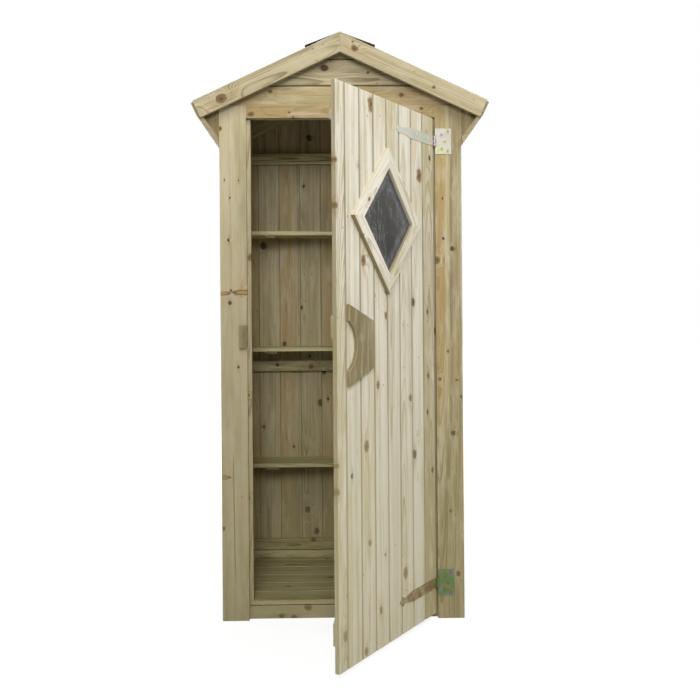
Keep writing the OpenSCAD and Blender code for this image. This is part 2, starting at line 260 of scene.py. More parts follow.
scene.view_settings.view_transform = "Standard"
make_camera()
make_world()
make_floor()
area_light("front", (-0.15, -4.6, 2.4), (-0.1, 0, 1.0), 1.3, 78)
area_light("over", (-0.5, -2.4, 3.2), (-0.1, -0.2, 1.2), 1.6, 22)
area_light("right", (1.5, -2.0, 3.2), (0.1, -0.4, 1.2), 1.6, 27)
area_light("side", (3.2, -1.4, 2.3), (0.1, -0.5, 1.0), 1.6, 12)
area_light("left", (-3.8, 0.9, 2.2), (0, 0.1, 1.1), 2.0, 30)
area_light("behind", (-1.2, 4.2, 3.0), (0, 0.2, 1.1), 2.2, 70)
area_light("behind_right", (3.4, 2.4, 2.4), (0, 0.1, 1.1), 2.0, 30)

# ---- what the frame says

SLOTS = {part["node"]: part["material_slot"] for part in frame["record"]["subparts"]}
BODIES = {node: body for body, nodes in frame["record"]["behaviour"]["bodies"].items() for node in nodes}
HINGE = next(joint for joint in frame["joints"] if joint["name"] == "door_hinge")
AXIS = Vector(HINGE["pos_m"])
SWING = math.radians(-HINGE["range_deg"][0])
OPENED = Matrix.Translation(AXIS) @ Matrix.Rotation(SWING, 4, "Z") @ Matrix.Translation(-AXIS)
SHUT = OPENED.inverted()
STILL = Matrix.Identity(4)
WELD = 0.01 * MM
FLAT = math.radians(0.5)


def cad_points(node, placing=STILL):
    return [placing @ vertex.co for vertex in frame["nodes"][node].data.vertices]


def box_of(points):
    return [Vector([limit(p[i] for p in points) for i in range(3)]) for limit in (min, max)]


def bisect(bm, x):
    """Cuts the faces where they cross x, and leaves them joined"""
    everything = bm.verts[:] + bm.edges[:] + bm.faces[:]
    return bmesh.ops.bisect_plane(bm, geom=everything, dist=1e-6, plane_co=(x, 0, 0), plane_no=(1, 0, 0))


def part_in_the_middle(bm):
    seam = [item for item in bisect(bm, 0)["geom_cut"] if isinstance(item, bmesh.types.BMEdge)]
    bmesh.ops.split_edges(bm, edges=seam)
    bmesh.ops.holes_fill(bm, edges=[edge for edge in bm.edges if edge.is_boundary])


def solids(node, placing=STILL, split=False):
    """The solids of a CAD node, each as its corners and its faces. With split they part at x = 0."""
    bm = bmesh.new()
    bm.from_mesh(frame["nodes"][node].data)
    bm.transform(placing)
    bmesh.ops.remove_doubles(bm, verts=bm.verts, dist=WELD)
    bmesh.ops.dissolve_limit(bm, angle_limit=FLAT, verts=bm.verts, edges=bm.edges)
    if split:
        part_in_the_middle(bm)
    bm.verts.index_update()
    seen, found = set(), []
    for first in bm.faces:
        if first in seen:
            continue
        seen.add(first)
        group = [first]
        for face in group:
            for near in (other for edge in face.edges for other in edge.link_faces):
                if near not in seen:
                    seen.add(near)
                    group.append(near)
        corners = sorted({v for face in group for v in face.verts}, key=lambda v: v.index)
        number = {v: i for i, v in enumerate(corners)}
        found.append(([v.co.copy() for v in corners], [[number[v] for v in face.verts] for face in group]))
    bm.free()

    def middle(solid):
        return tuple(round(c, 4) for c in sum(solid[0], Vector()) / len(solid[0]))

    return sorted(found, key=middle)


# The roof's slope, from the top corners of its boards
RIDGE = max(cad_points("roof_right"), key=lambda p: p.z - abs(p.x))
EAVE = max(cad_points("roof_right"), key=lambda p: p.x)
SLOPE_LENGTH = math.hypot(EAVE.x - RIDGE.x, RIDGE.z - EAVE.z)
PITCH = math.atan2(RIDGE.z - EAVE.z, EAVE.x - RIDGE.x)
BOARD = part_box("back_wall")[1].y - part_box("back_wall")[0].y


def slope(side, pitch=PITCH):
    """Down and off the roof, on its right (1) or its left (-1)"""
    return (Vector((side * math.cos(pitch), 0, -math.sin(pitch))),
            Vector((side * math.sin(pitch), 0, math.cos(pitch))))


def roof_underside(x):
    return RIDGE.z - BOARD / math.cos(PITCH) - abs(x) * math.tan(PITCH)


# ---- boards with their own grain

COVER = 87.7 * MM
KNOT_LAYERS = ("knot_a", "knot_b", "knot_c")
GRAIN_LAYERS = ("grain", *KNOT_LAYERS, "knot_kinds", "board", "finish")
LIVE, DEAD, SPIKE = 0.0, 1.0, 2.0
NO_KNOT = (-90.0, 0.0, 1 * MM, LIVE)
FLAT_SAWN = 0.75
KNOT_SPACING = 0.42


def in_mm(knots):
    return [(u * MM, v * MM, radius * MM, kind) for u, v, radius, kind in knots]


class Timber:
    """One mesh piece made of boards. Each board is drawn along u, across v and out to its face at w."""

    def __init__(self, node):
        self.node = node
        self.rng = random.Random(node)
        self.verts, self.faces = [], []
        self.layers = {name: [] for name in GRAIN_LAYERS}

    def log(self, width):
        """Where the middle of the tree lies from this board, and how it leans along the board"""
        rng = self.rng
        if rng.random() < FLAT_SAWN:
            across, deep = rng.uniform(-0.35, 0.35) * width, rng.uniform(25, 85) * MM
        else:
            across, deep = rng.choice((-1, 1)) * rng.uniform(50, 110) * MM, rng.uniform(10, 50) * MM
        lean = (rng.uniform(-0.012, 0.012), rng.choice((-1, 1)) * rng.uniform(0.008, 0.03))
        return across, deep, lean

    def wild_knots(self, start, length, width):
        """Knots where they happen to be, in a board's own coordinates"""
        rng = self.rng
        knots = []
        u = rng.uniform(0, KNOT_SPACING)
        while u < length:
            radius = rng.choice((2.5, 3, 4, 6, 8)) * rng.uniform(0.8, 1.2) * MM
            v = rng.uniform(-0.45, 0.45) * width
            knots.append((start + u, v, radius, rng.choice((LIVE, LIVE, DEAD))))
            u += rng.uniform(0.3, 1.6) * KNOT_SPACING
        return knots

    def add(self, bm, placing, knots, width, tone=0.0, heart=None, joints=(False, False), sides=0.0, worn=()):
        """Takes a board in its own coordinates. Between knots it is cut, so that each stretch has its own
        three. tone is one number, or one for the low end and one for the high end. joints tells whether
        another board meets its lower and its upper side, sides is how much dirt and painted shade its side
        faces get, and worn faces are paler."""
        rng = self.rng
        knots = sorted(knots)
        cuts = [(a[0] + b[0]) / 2 for a, b in zip(knots, knots[1:])] if len(knots) > 3 else []
        for cut in cuts:
            bisect(bm, cut)
        across, deep, lean = self.log(width)
        shift = rng.uniform(0, 40)
        seed = rng.random()
        tone_low, tone_high = tone if isinstance(tone, tuple) else (tone, tone)
        tone_shift = rng.uniform(-0.5, 0.5)
        heart_radius = rng.uniform(0, 55) * MM if heart is None else heart
        start = min(v.co.x for v in bm.verts)
        length = max(v.co.x for v in bm.verts) - start

        def in_log(u, v, w):
            return (u + shift, v - across - lean[0] * u, w + deep - lean[1] * u)

        knots = [(*in_log(u, v, 0)[:2], *rest) for u, v, *rest in knots]
        knots = [NO_KNOT, *knots, NO_KNOT] if cuts else knots + [NO_KNOT] * 3
        first = len(self.verts)
        bm.verts.index_update()
        self.verts += [placing @ v.co for v in bm.verts]
        for face in bm.faces:
            self.faces.append([first + v.index for v in face.verts])
            stretch = sum(face.calc_center_median().x > cut for cut in cuts)
            near = knots[stretch:stretch + 3]
            normal = face.normal
            slanted = abs(normal.y) > 0.2 and abs(normal.z) > 0.2
            end = abs(normal.x) > 0.5
            side = not end and abs(normal.y) > 0.9
            # Chamfers at joints and the sides of boards take the groove colour: dirt and painted shade between
            # boards
            groove = max(float(joints[normal.y > 0] and not end and (slanted or side)), sides * side)
            finish = (float(end), float(not any(joints) and (slanted or face in worn)), groove)
            for v in face.verts:
                self.layers["grain"] += in_log(*v.co)
                for name, knot in zip(KNOT_LAYERS, near):
                    self.layers[name] += knot[:3]
                self.layers["knot_kinds"] += [kind for *where, kind in near]
                tone_here = tone_low + (tone_high - tone_low) * (v.co.x - start) / length + tone_shift
                self.layers["board"] += (seed, tone_here, heart_radius)
                self.layers["finish"] += finish
        bm.free()

    def finish(self):
        mesh = bpy.data.meshes.new(self.node + "_timber")
        mesh.from_pydata([tuple(v) for v in self.verts], [], self.faces)
        for layer, values in self.layers.items():
            mesh.attributes.new(layer, "FLOAT_VECTOR", "CORNER").data.foreach_set("vector", values)
        mesh.validate()
        stand_for(self.node, link(mesh.name, mesh))


def stand_for(node, piece):
    """Gives a piece the material, the body and the place of a CAD node"""
    piece.data.materials.append(MATERIALS[SLOTS[node]])
    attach(piece, BODIES[node])
    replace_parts(piece, node)


def placing_of(along, out, at):
    matrix = Matrix((along, out.cross(along), out)).transposed().to_4x4()
    matrix.translation = at
    return matrix


def bridge(bm, rings):
    """Faces from each closed ring of corners to the next"""
    for ring, after in zip(rings, rings[1:]):
        for i in range(len(ring)):
            j = (i + 1) % len(ring)
            bm.faces.new((ring[i], ring[j], after[j], after[i]))


def prism(first, last):
    """The solid between two rings of points"""
    bm = bmesh.new()
    rings = [[bm.verts.new(point) for point in ring] for ring in (first, last)]
    bridge(bm, rings)
    bm.faces.new(rings[0][::-1])
    bm.faces.new(rings[1])
    bmesh.ops.recalc_face_normals(bm, faces=bm.faces)
    return bm


def extruded(profile, start, end):
    """A board with a drawn cross-section, whose ends follow start(v, w) and end(v, w)"""
    return prism(*([(cut(v, w), v, w) for v, w in profile] for cut in (start, end)))


def square_cut(u):
    return lambda v, w: u


def carved(bm, outline, depth):
    """A board with a hole in it, whose outline (u, v) is on the board's face"""
    tool = prism(*([(u, v, w) for u, v in outline] for w in (depth, -depth)))
    board, knife = link_bmesh("cut", bm), link_bmesh("cut", tool)
    modifier = board.modifiers.new("cut", "BOOLEAN")
    modifier.object = knife
    modifier.operation = "DIFFERENCE"
    modifier.solver = "EXACT"
    bpy.context.view_layer.update()
    evaluated = board.evaluated_get(bpy.context.evaluated_depsgraph_get())
    cut = bmesh.new()
    cut.from_mesh(evaluated.to_mesh())
    evaluated.to_mesh_clear()
    for item in (board, knife):
        mesh = item.data
        bpy.data.objects.remove(item)
        bpy.data.meshes.remove(mesh)
    bmesh.ops.dissolve_limit(cut, angle_limit=FLAT, verts=cut.verts, edges=cut.edges)
    return cut


JOINT_GAP = 0.8 * MM
TONGUE = 4 * MM
TONGUE_REACH = 4.5 * MM
TONGUE_FIT = 0.2 * MM
EDGE = 1 * MM
LEAST_COVER = 6 * MM
PEAK_CLEARANCE = 5 * MM


def matched_profile(low, high, thickness, bevels, tongue, groove, peak, lean):
    """The cross-section of a tongue-and-groove board from low to high, with bevels at front and back.
    Without its tongue or groove it is a board cut to width, and lean slants a cut at low."""
    top = -(thickness - TONGUE) / 2

    def side(at, inward, jointed, reach, fit):
        """From front to back"""
        front, back = bevels if jointed else (EDGE, EDGE)
        at += inward * JOINT_GAP / 2 * jointed
        points = [(at + inward * front, 0), (at, -front)]
        if jointed:
            bottom = top - TONGUE - fit
            points += [(at, top + fit), (reach, top + fit), (reach, bottom), (at, bottom)]
        return points + [(at, back - thickness), (at + inward * back, -thickness)]

    right = side(high, -1, tongue, high + TONGUE_REACH, 0)
    left = side(low, 1, groove, low + TONGUE_REACH + 2 * TONGUE_FIT, TONGUE_FIT)[::-1]
    if not groove and lean:
        left = [(v - w * lean, w) for v, w in left]
    if peak is None:
        return right + left
    return right + [(peak, -thickness)] + left + [(peak, 0)]


def matched_boards(timber, placing, span, joints, start, end, front=3.2 * MM, back=1.2 * MM, knots=None,
                   peak=None, lean=0.0, hole=None, thickness=BOARD, tones=None, hearts=None, sides=0.0,
                   trodden=False):
    """A panel of tongue-and-groove boards over span, which meet at joints. knots are (u, v, radius, kind)
    and hole is an outline (u, v), in the panel's coordinates. Without knots each board has wild ones.
    Trodden boards have bright edges."""
    inner = sorted(joint for joint in joints if span[0] + LEAST_COVER < joint < span[1] - LEAST_COVER)
    lines = [span[0], *inner, span[1]]
    for i, (low, high) in enumerate(zip(lines, lines[1:])):
        peaked = peak is not None and low + PEAK_CLEARANCE < peak < high - PEAK_CLEARANCE
        middle = (low + high) / 2
        tongue, groove = i < len(inner), i > 0
        profile = matched_profile(low, high, thickness, (front, back), tongue, groove,
                                  peak if peaked else None, lean)
        profile = [(v - middle, w) for v, w in profile]
        board = extruded(profile, lambda v, w: start(v + middle, w), lambda v, w: end(v + middle, w))
        if hole and min(v for u, v in hole) < high and max(v for u, v in hole) > low:
            board = carved(board, [(u, v - middle) for u, v in hole], 3 * thickness)
        if knots is None:
            first, last = start(middle, 0), end(middle, 0)
            mine = timber.wild_knots(first, last - first, high - low)
        else:
            mine = [(u, v - middle, *rest) for u, v, *rest in knots if low <= v < high]
        timber.add(board, placing @ Matrix.Translation((0, middle, 0)), mine, high - low,
                   tone=tones[i] if tones else 0.0, heart=hearts[i] if hearts else None,
                   joints=(groove and not trodden, tongue and not trodden), sides=sides)


def every_board(low, high, through, pitch=COVER):
    """The joints of boards laid side by side, one of them at through"""
    first = math.ceil((low - through) / pitch)
    last = math.floor((high - through) / pitch)
    return [through + i * pitch for i in range(first, last + 1)]


def panel(node, along, out, joints, start, end, box=None, knots=None, within=STILL, **more):
    """A CAD panel whose boards run along, with their faces out. joints are where they meet. start and
    end are numbers, or functions of the place across the boards and of w. knots are (x, z, radius, kind)
    in mm, as seen from the front."""
    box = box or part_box(node)
    across = out.cross(along)
    sign = sum(across)
    if knots is not None:
        knots = in_mm([(z, sign * x, *rest) if along == Z else (x, sign * z, *rest) for x, z, *rest in knots])
    span = sorted(corner.dot(across) for corner in box)
    cuts = [(lambda v, w, cut=cut: cut(v * sign, w)) if callable(cut) else square_cut(cut)
            for cut in (start, end)]
    placing = within @ placing_of(along, out, out * max(corner.dot(out) for corner in box))
    timber = Timber(node)
    matched_boards(timber, placing, span, [sign * joint for joint in joints], *cuts, knots=knots, **more)
    timber.finish()


HULL_FLAT = math.radians(2)
SHARP = math.radians(30)
KNOT_REACH = 12 * MM


def plain_timber(node, along=Z, out=-Y, chamfer=2 * MM, knots=None, placing=STILL, hull=False, tone=0.0,
                 heart=None, edit=None, split=False):
    """A piece with every solid of a CAD node as a planed board with eased edges. knots are (x, z, radius,
    kind) in mm, as seen from the front, or None for wild ones. tone is one for all the solids, or one for
    each. along can be a function of a solid's corners."""
    timber = Timber(node)
    tones = tone if isinstance(tone, tuple) else (tone,)
    for index, (corners, faces) in enumerate(solids(node, placing.inverted(), split)):
        here_along = along(corners) if callable(along) else along
        axes = (here_along, out.cross(here_along), out)
        low, high = [[limit(p.dot(axis) for p in corners) for axis in axes] for limit in (min, max)]
        here = placing_of(here_along, out, axes[1] * (low[1] + high[1]) / 2 + out * high[2])
        length, width = high[0] - low[0], high[1] - low[1]
        bm = bmesh.new()
        verts = [bm.verts.new(here.inverted() @ p) for p in corners]
        if hull:
            bmesh.ops.convex_hull(bm, input=verts)
            bmesh.ops.dissolve_limit(bm, angle_limit=HULL_FLAT, verts=bm.verts, edges=bm.edges)
            bmesh.ops.delete(bm, geom=[v for v in bm.verts if not v.link_faces], context="VERTS")
        else:
            for face in faces:
                bm.faces.new([verts[i] for i in face])
        bmesh.ops.recalc_face_normals(bm, faces=bm.faces)
        if edit:
            bm = edit(bm, here)
        sharp = [e for e in bm.edges if e.calc_face_angle(0) > SHARP]
        made = bmesh.ops.bevel(bm, geom=sharp, offset=chamfer, segments=2, profile=0.6, affect="EDGES",
                               clamp_overlap=True)
        if knots is None:
            mine = timber.wild_knots(low[0], length, width)
        else:
            mine = []
            for x, z, radius, kind in in_mm(knots):
                u, v, w = here.inverted() @ Vector((x, 0, z))
                if low[0] < u < high[0] and abs(v) < width / 2 + KNOT_REACH:
                    mine.append((u, v, radius, kind))
        timber.add(bm, placing @ here, mine, width, tones[index % len(tones)], heart, worn=set(made["faces"]))
    timber.finish()


# ---- materials

RING = 3.3 * MM
SAPWOOD_EDGE = 9 * MM
STRAP_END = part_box("hinge_plates")[0].x


def pine(n, contrast, light, dark, heart, tint, pale, groove_dirt_and_shade, *knots):
    """Treated pine. Growth rings run round the middle of the tree, bend past the knots and show as arches
    on flat-sawn faces and as arcs on end grain."""
    grain = n.attribute("grain")
    u, v, w = n.split(grain)
    seed, tone, heart_radius = n.split(n.attribute("board"))
    end, worn, groove = n.split(n.attribute("finish"))
    seed = n.times(seed, 60.0)

    def clouds(along, across, detail, roughness=0.5, seed=seed):
        return n.noise(n.scaled(grain, (along, across, across)), seed, detail=detail, roughness=roughness)

    # Knots: how far off the nearest one is in its radii, and how far they push the rings aside
    wobble = clouds(70, 70, 1)
    nearest, kind, push, stain = 40.0, LIVE, 0.0, 0.0
    for layer, its_kind in zip(KNOT_LAYERS, n.split(n.attribute("knot_kinds"))):
        knot_u, knot_v, radius = n.split(n.attribute(layer))
        off_u = n.math("DIVIDE", n.less(u, knot_u), radius)
        off_v = n.math("DIVIDE", n.less(v, knot_v), radius)
        crosswise = n.math("GREATER_THAN", its_kind, (DEAD + SPIKE) / 2)
        along = n.times(off_u, n.line(crosswise, 0.7, 0.82))
        aside = n.times(off_v, n.line(crosswise, -0.58, 1.0))
        away = n.times(n.hypot(along, aside), n.line(wobble, 0.9, 0.55))
        closer = n.math("LESS_THAN", away, nearest)
        kind = n.line(closer, n.less(its_kind, kind), kind)
        nearest = n.math("MINIMUM", nearest, away)
        push = n.line(n.times(radius, 2.6), n.hill(off_u, 0.28, off_v, 0.5), push)
        stain = n.math("MAXIMUM", stain, n.hill(off_u, 0.22, off_v, 0.7))
    dead = n.math("COMPARE", kind, DEAD, 0.5)
    spike = n.math("COMPARE", kind, SPIKE, 0.4)
    bark = n.times(n.step(nearest, 0.66, 0.95), n.fade(nearest, 0.98, 1.4))

    # Rings, which end in a dark line, wide in some years and thin in others
    middle = n.math("ADD", n.hypot(v, w), n.line(clouds(1.6, 9, 2), 0.02, push))
    turns = n.math("DIVIDE", middle, RING)
    ring = n.math("FRACT", turns)
    year = n.noise(n.on_x(n.math("FLOOR", turns)), seed, scale=0.83, detail=0)
    late = n.times(n.times(n.step(ring, 0.35, 0.9), n.fade(ring, 0.93, 1.0)), n.step(year, 0.3, 0.62))
    bands = n.noise(n.on_x(middle), seed, scale=75.0, detail=1)
    streaks = clouds(1.1, 48, 3, 0.62)
    lines = clouds(2.6, 190, 2, 0.6)
    fibre = clouds(18, 800, 2, 0.7)
    shade = n.line(late, 0.6 * contrast, 0.08)
    for pattern, mean, strength in ((bands, 0.5, 0.9 * contrast), (streaks, 0.42, 1.1 * contrast),
                                    (lines, 0.5, 0.85 * contrast), (fibre, 0.5, 0.4)):
        shade = n.line(n.less(pattern, mean), strength, shade)
    shade = n.line(tone, -0.10, shade, clamp=True)

    in_heart = n.fade(n.less(middle, heart_radius), 0.0, SAPWOOD_EDGE)
    smudges = clouds(7, 38, 3, 0.65, n.math("ADD", seed, 9.0))
    colour = n.coats(n.blend(shade, light, dark),
                     (heart, in_heart, 0.48),
                     (tint, n.step(clouds(2.2, 14, 3, 0.65), 0.46, 0.74), 0.65),
                     (pale, n.step(smudges, 0.48, 0.72), 0.6),
                     (n.blend(dead, "#ba9866", "#887654"), stain, 0.42))

    # Knots over the grain, then pin knots and dark dashes along it, a few to a board
    knot_rings = n.math("SINE", n.line(wobble, 6.0, n.times(nearest, 17.0)))
    live = n.blend(n.line(knot_rings, 0.3, 0.45), *knots)
    live = n.blend(n.fade(nearest, 0.2, 0.65), live, knots[1])
    knot = n.blend(dead, n.blend(spike, live, "#b08e5c"), n.blend(wobble, knots[1], "#3a2e20"))
    colour = n.coats(n.blend(n.fade(nearest, 0.86, 1.08), colour, knot),
                     ("#58422a", bark, n.line(spike, 0.3, 0.62)),
                     ("#705a3e", n.scattered(grain, seed, (7, 13), 0.04, 0.86), 0.7),
                     ("#685638", n.scattered(grain, seed, (12, 95), 0.12, 0.95), 0.5))

    # Cut ends are darker, arrises a little worn, each groove and the sides of boards hold dirt and painted shade,
    # the tint grows toward the foot as painted shade, and the foot is darker in streaks
    height = n.split(n.place())[2]
    colour = n.coats(colour,
                     ("#806e4c", end, 0.42),
                     ("#d8ceb0", worn, n.times(streaks, 0.5)),
                     (groove_dirt_and_shade, groove, 0.7),
                     # Painted shade: the tint grows toward the foot, so the boards are darker low down
                     (tint, n.fade(height, 0.1, 1.5), 0.36),
                     # Darker in streaks in the lowest few centimetres
                     ("#7c724e", n.fade(n.line(streaks, -0.25, height), -0.1, 0.16), 0.12))
    relief = n.line(bark, -0.8, n.line(fibre, 0.5, n.times(late, 0.4)))
    return {"Base Color": colour, "Roughness": n.line(late, -0.1, n.line(fibre, 0.3, 0.5)),
            "Specular IOR Level": 0.3, "Normal": n.bump(relief, 0.5, 0.5 * MM)}


def zinc(n):
    """Passivated zinc: silver with pink and yellow above, weathered green and olive near the ground. Above,
    the straps are painted paler than the plates as a painted highlight, and below they are browner. The
    turn button's screw is dull."""
    place = n.place()
    x, y, height = n.split(place)
    clouds = n.noise(place, 3.0, scale=38.0)
    other = n.noise(place, 8.0, scale=26.0, detail=1)
    specks = n.noise(place, 5.0, scale=900.0, detail=1)
    greenish = n.step(other, 0.46, 0.36)
    bright = n.coats(n.blend(n.step(clouds, 0.46, 0.66), "#b0ada2", "#b6b682"),
                     ("#a8949e", n.step(other, 0.5, 0.64), 0.5),
                     ("#90a890", greenish, 0.4))
    # The straps' upper colours: paler than the plates' as a painted highlight
    pale = n.coats(n.blend(n.step(clouds, 0.44, 0.64), "#dad2d0", "#d6dab8"),
                   ("#c0d6c6", greenish, 0.5))
    dull = n.blend(n.step(clouds, 0.5, 0.66), "#58763c", "#847042")
    dull = n.blend(n.step(other, 0.55, 0.68), dull, "#727668")
    brown = n.blend(n.step(clouds, 0.4, 0.6), "#969460", "#80603e")
    strap = n.step(x, STRAP_END, STRAP_END - 8 * MM)
    colour = n.blend(n.step(height, 0.6, 1.2), n.blend(strap, dull, brown), n.blend(strap, bright, pale))
    colour = n.blend(n.step(x, -0.2, -0.3), colour, "#8c8062")
    colour = n.coats(colour, ("#969282", n.step(specks, 0.6, 0.7), 0.3))
    return {"Base Color": colour, "Roughness": n.line(clouds, 0.2, 0.38), "Metallic": 0.25,
            "Normal": n.bump(specks, 0.15, 0.1 * MM)}


def nail_metal(n):
    """Galvanised nails gone dull"""
    tarnish = n.noise(n.place(), 6.0, scale=320.0)
    colour = n.blend(n.step(tarnish, 0.4, 0.65), "#868070", "#5c5444")
    return {"Base Color": colour, "Roughness": n.line(tarnish, 0.3, 0.4), "Metallic": 0.5}


def felt(n):
    """Bitumen felt with a mineral surface"""
    place = n.place()
    grit = n.add("TexVoronoi", {"Vector": place, "Scale": 700.0}).outputs
    patches = n.noise(place, 1.0, scale=14.0, detail=3)
    colour = n.coats(n.blend(n.split(grit["Color"])[0], "#3e3c3b", "#686562"),
                     ("#706e68", n.step(patches, 0.45, 0.7), 0.5))
    return {"Base Color": colour, "Roughness": n.line(patches, 0.2, 0.78),
            "Normal": n.bump(n.less(1.0, grit["Distance"]), 0.8, 0.6 * MM)}


def sheet(n):
    """A clear plastic sheet, dusty and rubbed, drawn mostly opaque in dark grey as painted shade of the
    dark inside behind it. It is lighter toward its edges, where the frame presses on it."""
    place = n.place()
    dust_and_shade = n.noise(n.scaled(place, (22, 22, 9)), 2.0, detail=4, roughness=0.65)
    scuffs = n.noise(n.scaled(place, (160, 160, 34)), 4.0, detail=3, roughness=0.7)
    marks = n.times(n.step(scuffs, 0.5, 0.6), n.step(dust_and_shade, 0.35, 0.6))
    low, high = box_of(cad_points("window_pane"))
    half = (high - low) / 2
    offset = n.vector("ABSOLUTE", n.vector("SUBTRACT", place, (low + high) / 2))
    off_x, off_y, off_z = n.split(offset)
    out = n.line(off_z, 1 / half.z, n.math("DIVIDE", off_x, half.x))
    rim = n.times(n.step(out, 0.6, 0.8), n.line(scuffs, 1.4, -0.2))
    # The dark greys are painted shade of the inside seen through the sheet, varied by the dust
    colour = n.coats(n.blend(dust_and_shade, "#1a1a19", "#3c3b39"),
                     ("#969698", marks, 0.35),
                     ("#8c8a92", rim, 0.8))
    return {"Base Color": colour, "Roughness": n.line(dust_and_shade, 0.25, 0.08), "Specular IOR Level": 0.12,
            "Alpha": n.line(marks, 0.2, n.line(dust_and_shade, 0.25, 0.55), clamp=True)}


def material(name, build, *looks):
    made = bpy.data.materials.new(name)
    n = Nodes(made)
    n.finish("OutputMaterial", n.add("BsdfPrincipled", build(n, *looks)))
    return made


# Contrast, then light and dark wood, heartwood, green tint (in patches, and as painted shade low down), pale
# smudges, groove dirt and painted shade, and a live knot's two
PINES = {
    "outer_pine": (1.15, "#c7ba96", "#80704a", "#b4945a", "#968e62",
                   "#ccc3a8", "#685c3c", "#987850", "#543e28"),
    "door_pine": (1.05, "#f7f1e0", "#b2a47c", "#d6c094", "#c8bd8a",
                  "#f7f0e2", "#786840", "#bc9862", "#684c2c"),
    "inner_pine": (1.2, "#dcd2a4", "#70683c", "#aa9c66", "#8c8348",
                   "#d4caac", "#484022", "#8c6c44", "#423220"),
}
MATERIALS = {name: material(name, pine, *looks) for name, looks in PINES.items()}
MATERIALS["bitumen_felt"] = material("bitumen_felt", felt)
MATERIALS["zinc_plate"] = material("zinc_plate", zinc)
MATERIALS["window_sheet"] = material("window_sheet", sheet)

# ---- walls, floor, roof and door: panels of boards
# Knots are (across, up, radius, kind) in millimetres, as seen from the front with the door shut

DOOR_KNOTS = [
    (-116, 1752, 17, LIVE), (-194, 1547, 7, LIVE), (-172, 1257, 13, LIVE), (220, 1568, 17, LIVE),
    (304, 1641, 7, DEAD), (168, 1130, 11, DEAD), (-20, 1165, 12, DEAD), (-27, 1085, 9, LIVE),
    (279, 1097, 6, DEAD), (281, 872, 7, DEAD), (-84, 864, 9, LIVE), (142, 805, 9, LIVE),
    (-161, 676, 13, LIVE), (170, 608, 12, DEAD), (311, 535, 9, DEAD), (-252, 598, 6, DEAD),
    (273, 744, 7, DEAD), (-145, 373, 8, LIVE), (96, 221, 13, LIVE), (-75, 142, 9, LIVE),
    (-296, 127, 11, LIVE), (-172, 42, 10, LIVE), (-42, 314, 4, DEAD), (-282, 247, 6, DEAD),
    (-331, 1548, 5, LIVE), (-331, 1412, 7, LIVE), (-331, 562, 7, LIVE), (-331, 640, 5, LIVE),
]
DOOR_TONES = ((-8.0, -1.8), 2.2, 0.6, 0.2, 0.2, 0.2, -0.2, -2.2)
BACK_TONES = (0.0, 0.5, -0.5, 0.0, 0.5, 0.0, 1.2, -0.8, 0.6, -0.3, 0.0)
FLOOR_TONES = (2.5, 1.0, 2.0, 0.0, -1.0, 0.0, 0.0)
BACK_KNOTS = [
    (-129, 1844, 11, DEAD), (-152, 1638, 5, DEAD), (-326, 1385, 12, DEAD), (-166, 1122, 6, DEAD),
    (-239, 967, 8, DEAD), (-132, 915, 5, DEAD), (-71, 846, 8, DEAD), (-87, 716, 12, DEAD),
    (-56, 731, 5, DEAD), (-329, 616, 5, DEAD), (-202, 530, 6, DEAD), (-146, 261, 10, DEAD),
    (-108, 168, 10, DEAD), (120, 1500, 9, LIVE), (215, 980, 12, LIVE), (300, 420, 9, LIVE),
    (60, 1210, 7, DEAD), (390, 1320, 8, LIVE),
]
GABLE_KNOTS = [(-56, 1971, 11, DEAD), (220, 1874, 7, LIVE), (-250, 1888, 6, LIVE), (100, 1955, 5, LIVE)]
GABLE_JOINTS = (1908 * MM, 2002 * MM)
GABLE_SHORT = 3 * MM
GABLE_TIP = 1 * MM
ALL_HEART, NO_HEART = 1.0, 0.0
GABLE_HEARTS = (ALL_HEART, 10 * MM, 30 * MM)
WALL_JOINT = 5.8 * MM
SIDE_FIRST_BOARD = 0.6 * COVER
DOOR_JOINTS = [245.2 * MM - i * COVER for i in range(7)]
DOOR_BEVEL, FLOOR_BEVEL, SHELF_BEVEL = 4.4 * MM, 3 * MM, 1.5 * MM
FLOOR_COVER = 112 * MM
FLOOR_JOINT = -199.5 * MM
ROOF_BOARDS = 7
FRAME_SLAT = 44 * MM
REBATE = 10 * MM
PANE_SEAT = 4.3 * MM


def make_walls():
    low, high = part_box("back_wall")
    panel("back_wall", Z, Y, every_board(low.x, high.x, WALL_JOINT), low.z, lambda x, w: roof_underside(x),
          knots=BACK_KNOTS, peak=0.0, tones=BACK_TONES)
    for node, out in (("side_wall_left", -X), ("side_wall_right", X)):
        low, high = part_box(node)
        face = max(-low.x, high.x)
        panel(node, Z, out, every_board(low.y, high.y, low.y + SIDE_FIRST_BOARD), low.z,
              lambda y, w: roof_underside(face + w))


def make_front_gable():
    low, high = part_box("front_gable")
    top = roof_underside(0)

    def reach(z, w):
        return min(high.x, max((top - z) / math.tan(PITCH), GABLE_TIP))

    panel("front_gable", X, -Y, GABLE_JOINTS, lambda z, w: -reach(z, w), reach,
          box=(low, Vector((high.x, high.y, top - GABLE_SHORT))), knots=GABLE_KNOTS, thickness=high.y - low.y,
          hearts=GABLE_HEARTS)


def make_floor_and_shelves():
    low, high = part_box("floor_boards")
    panel("floor_boards", X, Z, every_board(low.y, high.y, FLOOR_JOINT, FLOOR_COVER), low.x, high.x,
          front=FLOOR_BEVEL, tones=FLOOR_TONES, trodden=True)
    for node in ("shelf_low_board", "shelf_mid_board", "shelf_top_board"):
        low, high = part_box(node)
        panel(node, X, Z, [(low.y + high.y) / 2], low.x, high.x, front=SHELF_BEVEL)


def make_roof_boards():
    joints = [SLOPE_LENGTH - i * COVER for i in range(1, ROOF_BOARDS)]
    for node, side in (("roof_right", 1), ("roof_left", -1)):
        down, out = slope(side)
        along = down.cross(out)
        ends = [square_cut(u) for u in sorted(along.y * corner.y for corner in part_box(node))]
        timber = Timber(node)
        matched_boards(timber, placing_of(along, out, Z * RIDGE.z), (0, SLOPE_LENGTH), joints, *ends,
                       lean=math.tan(PITCH))
        timber.finish()


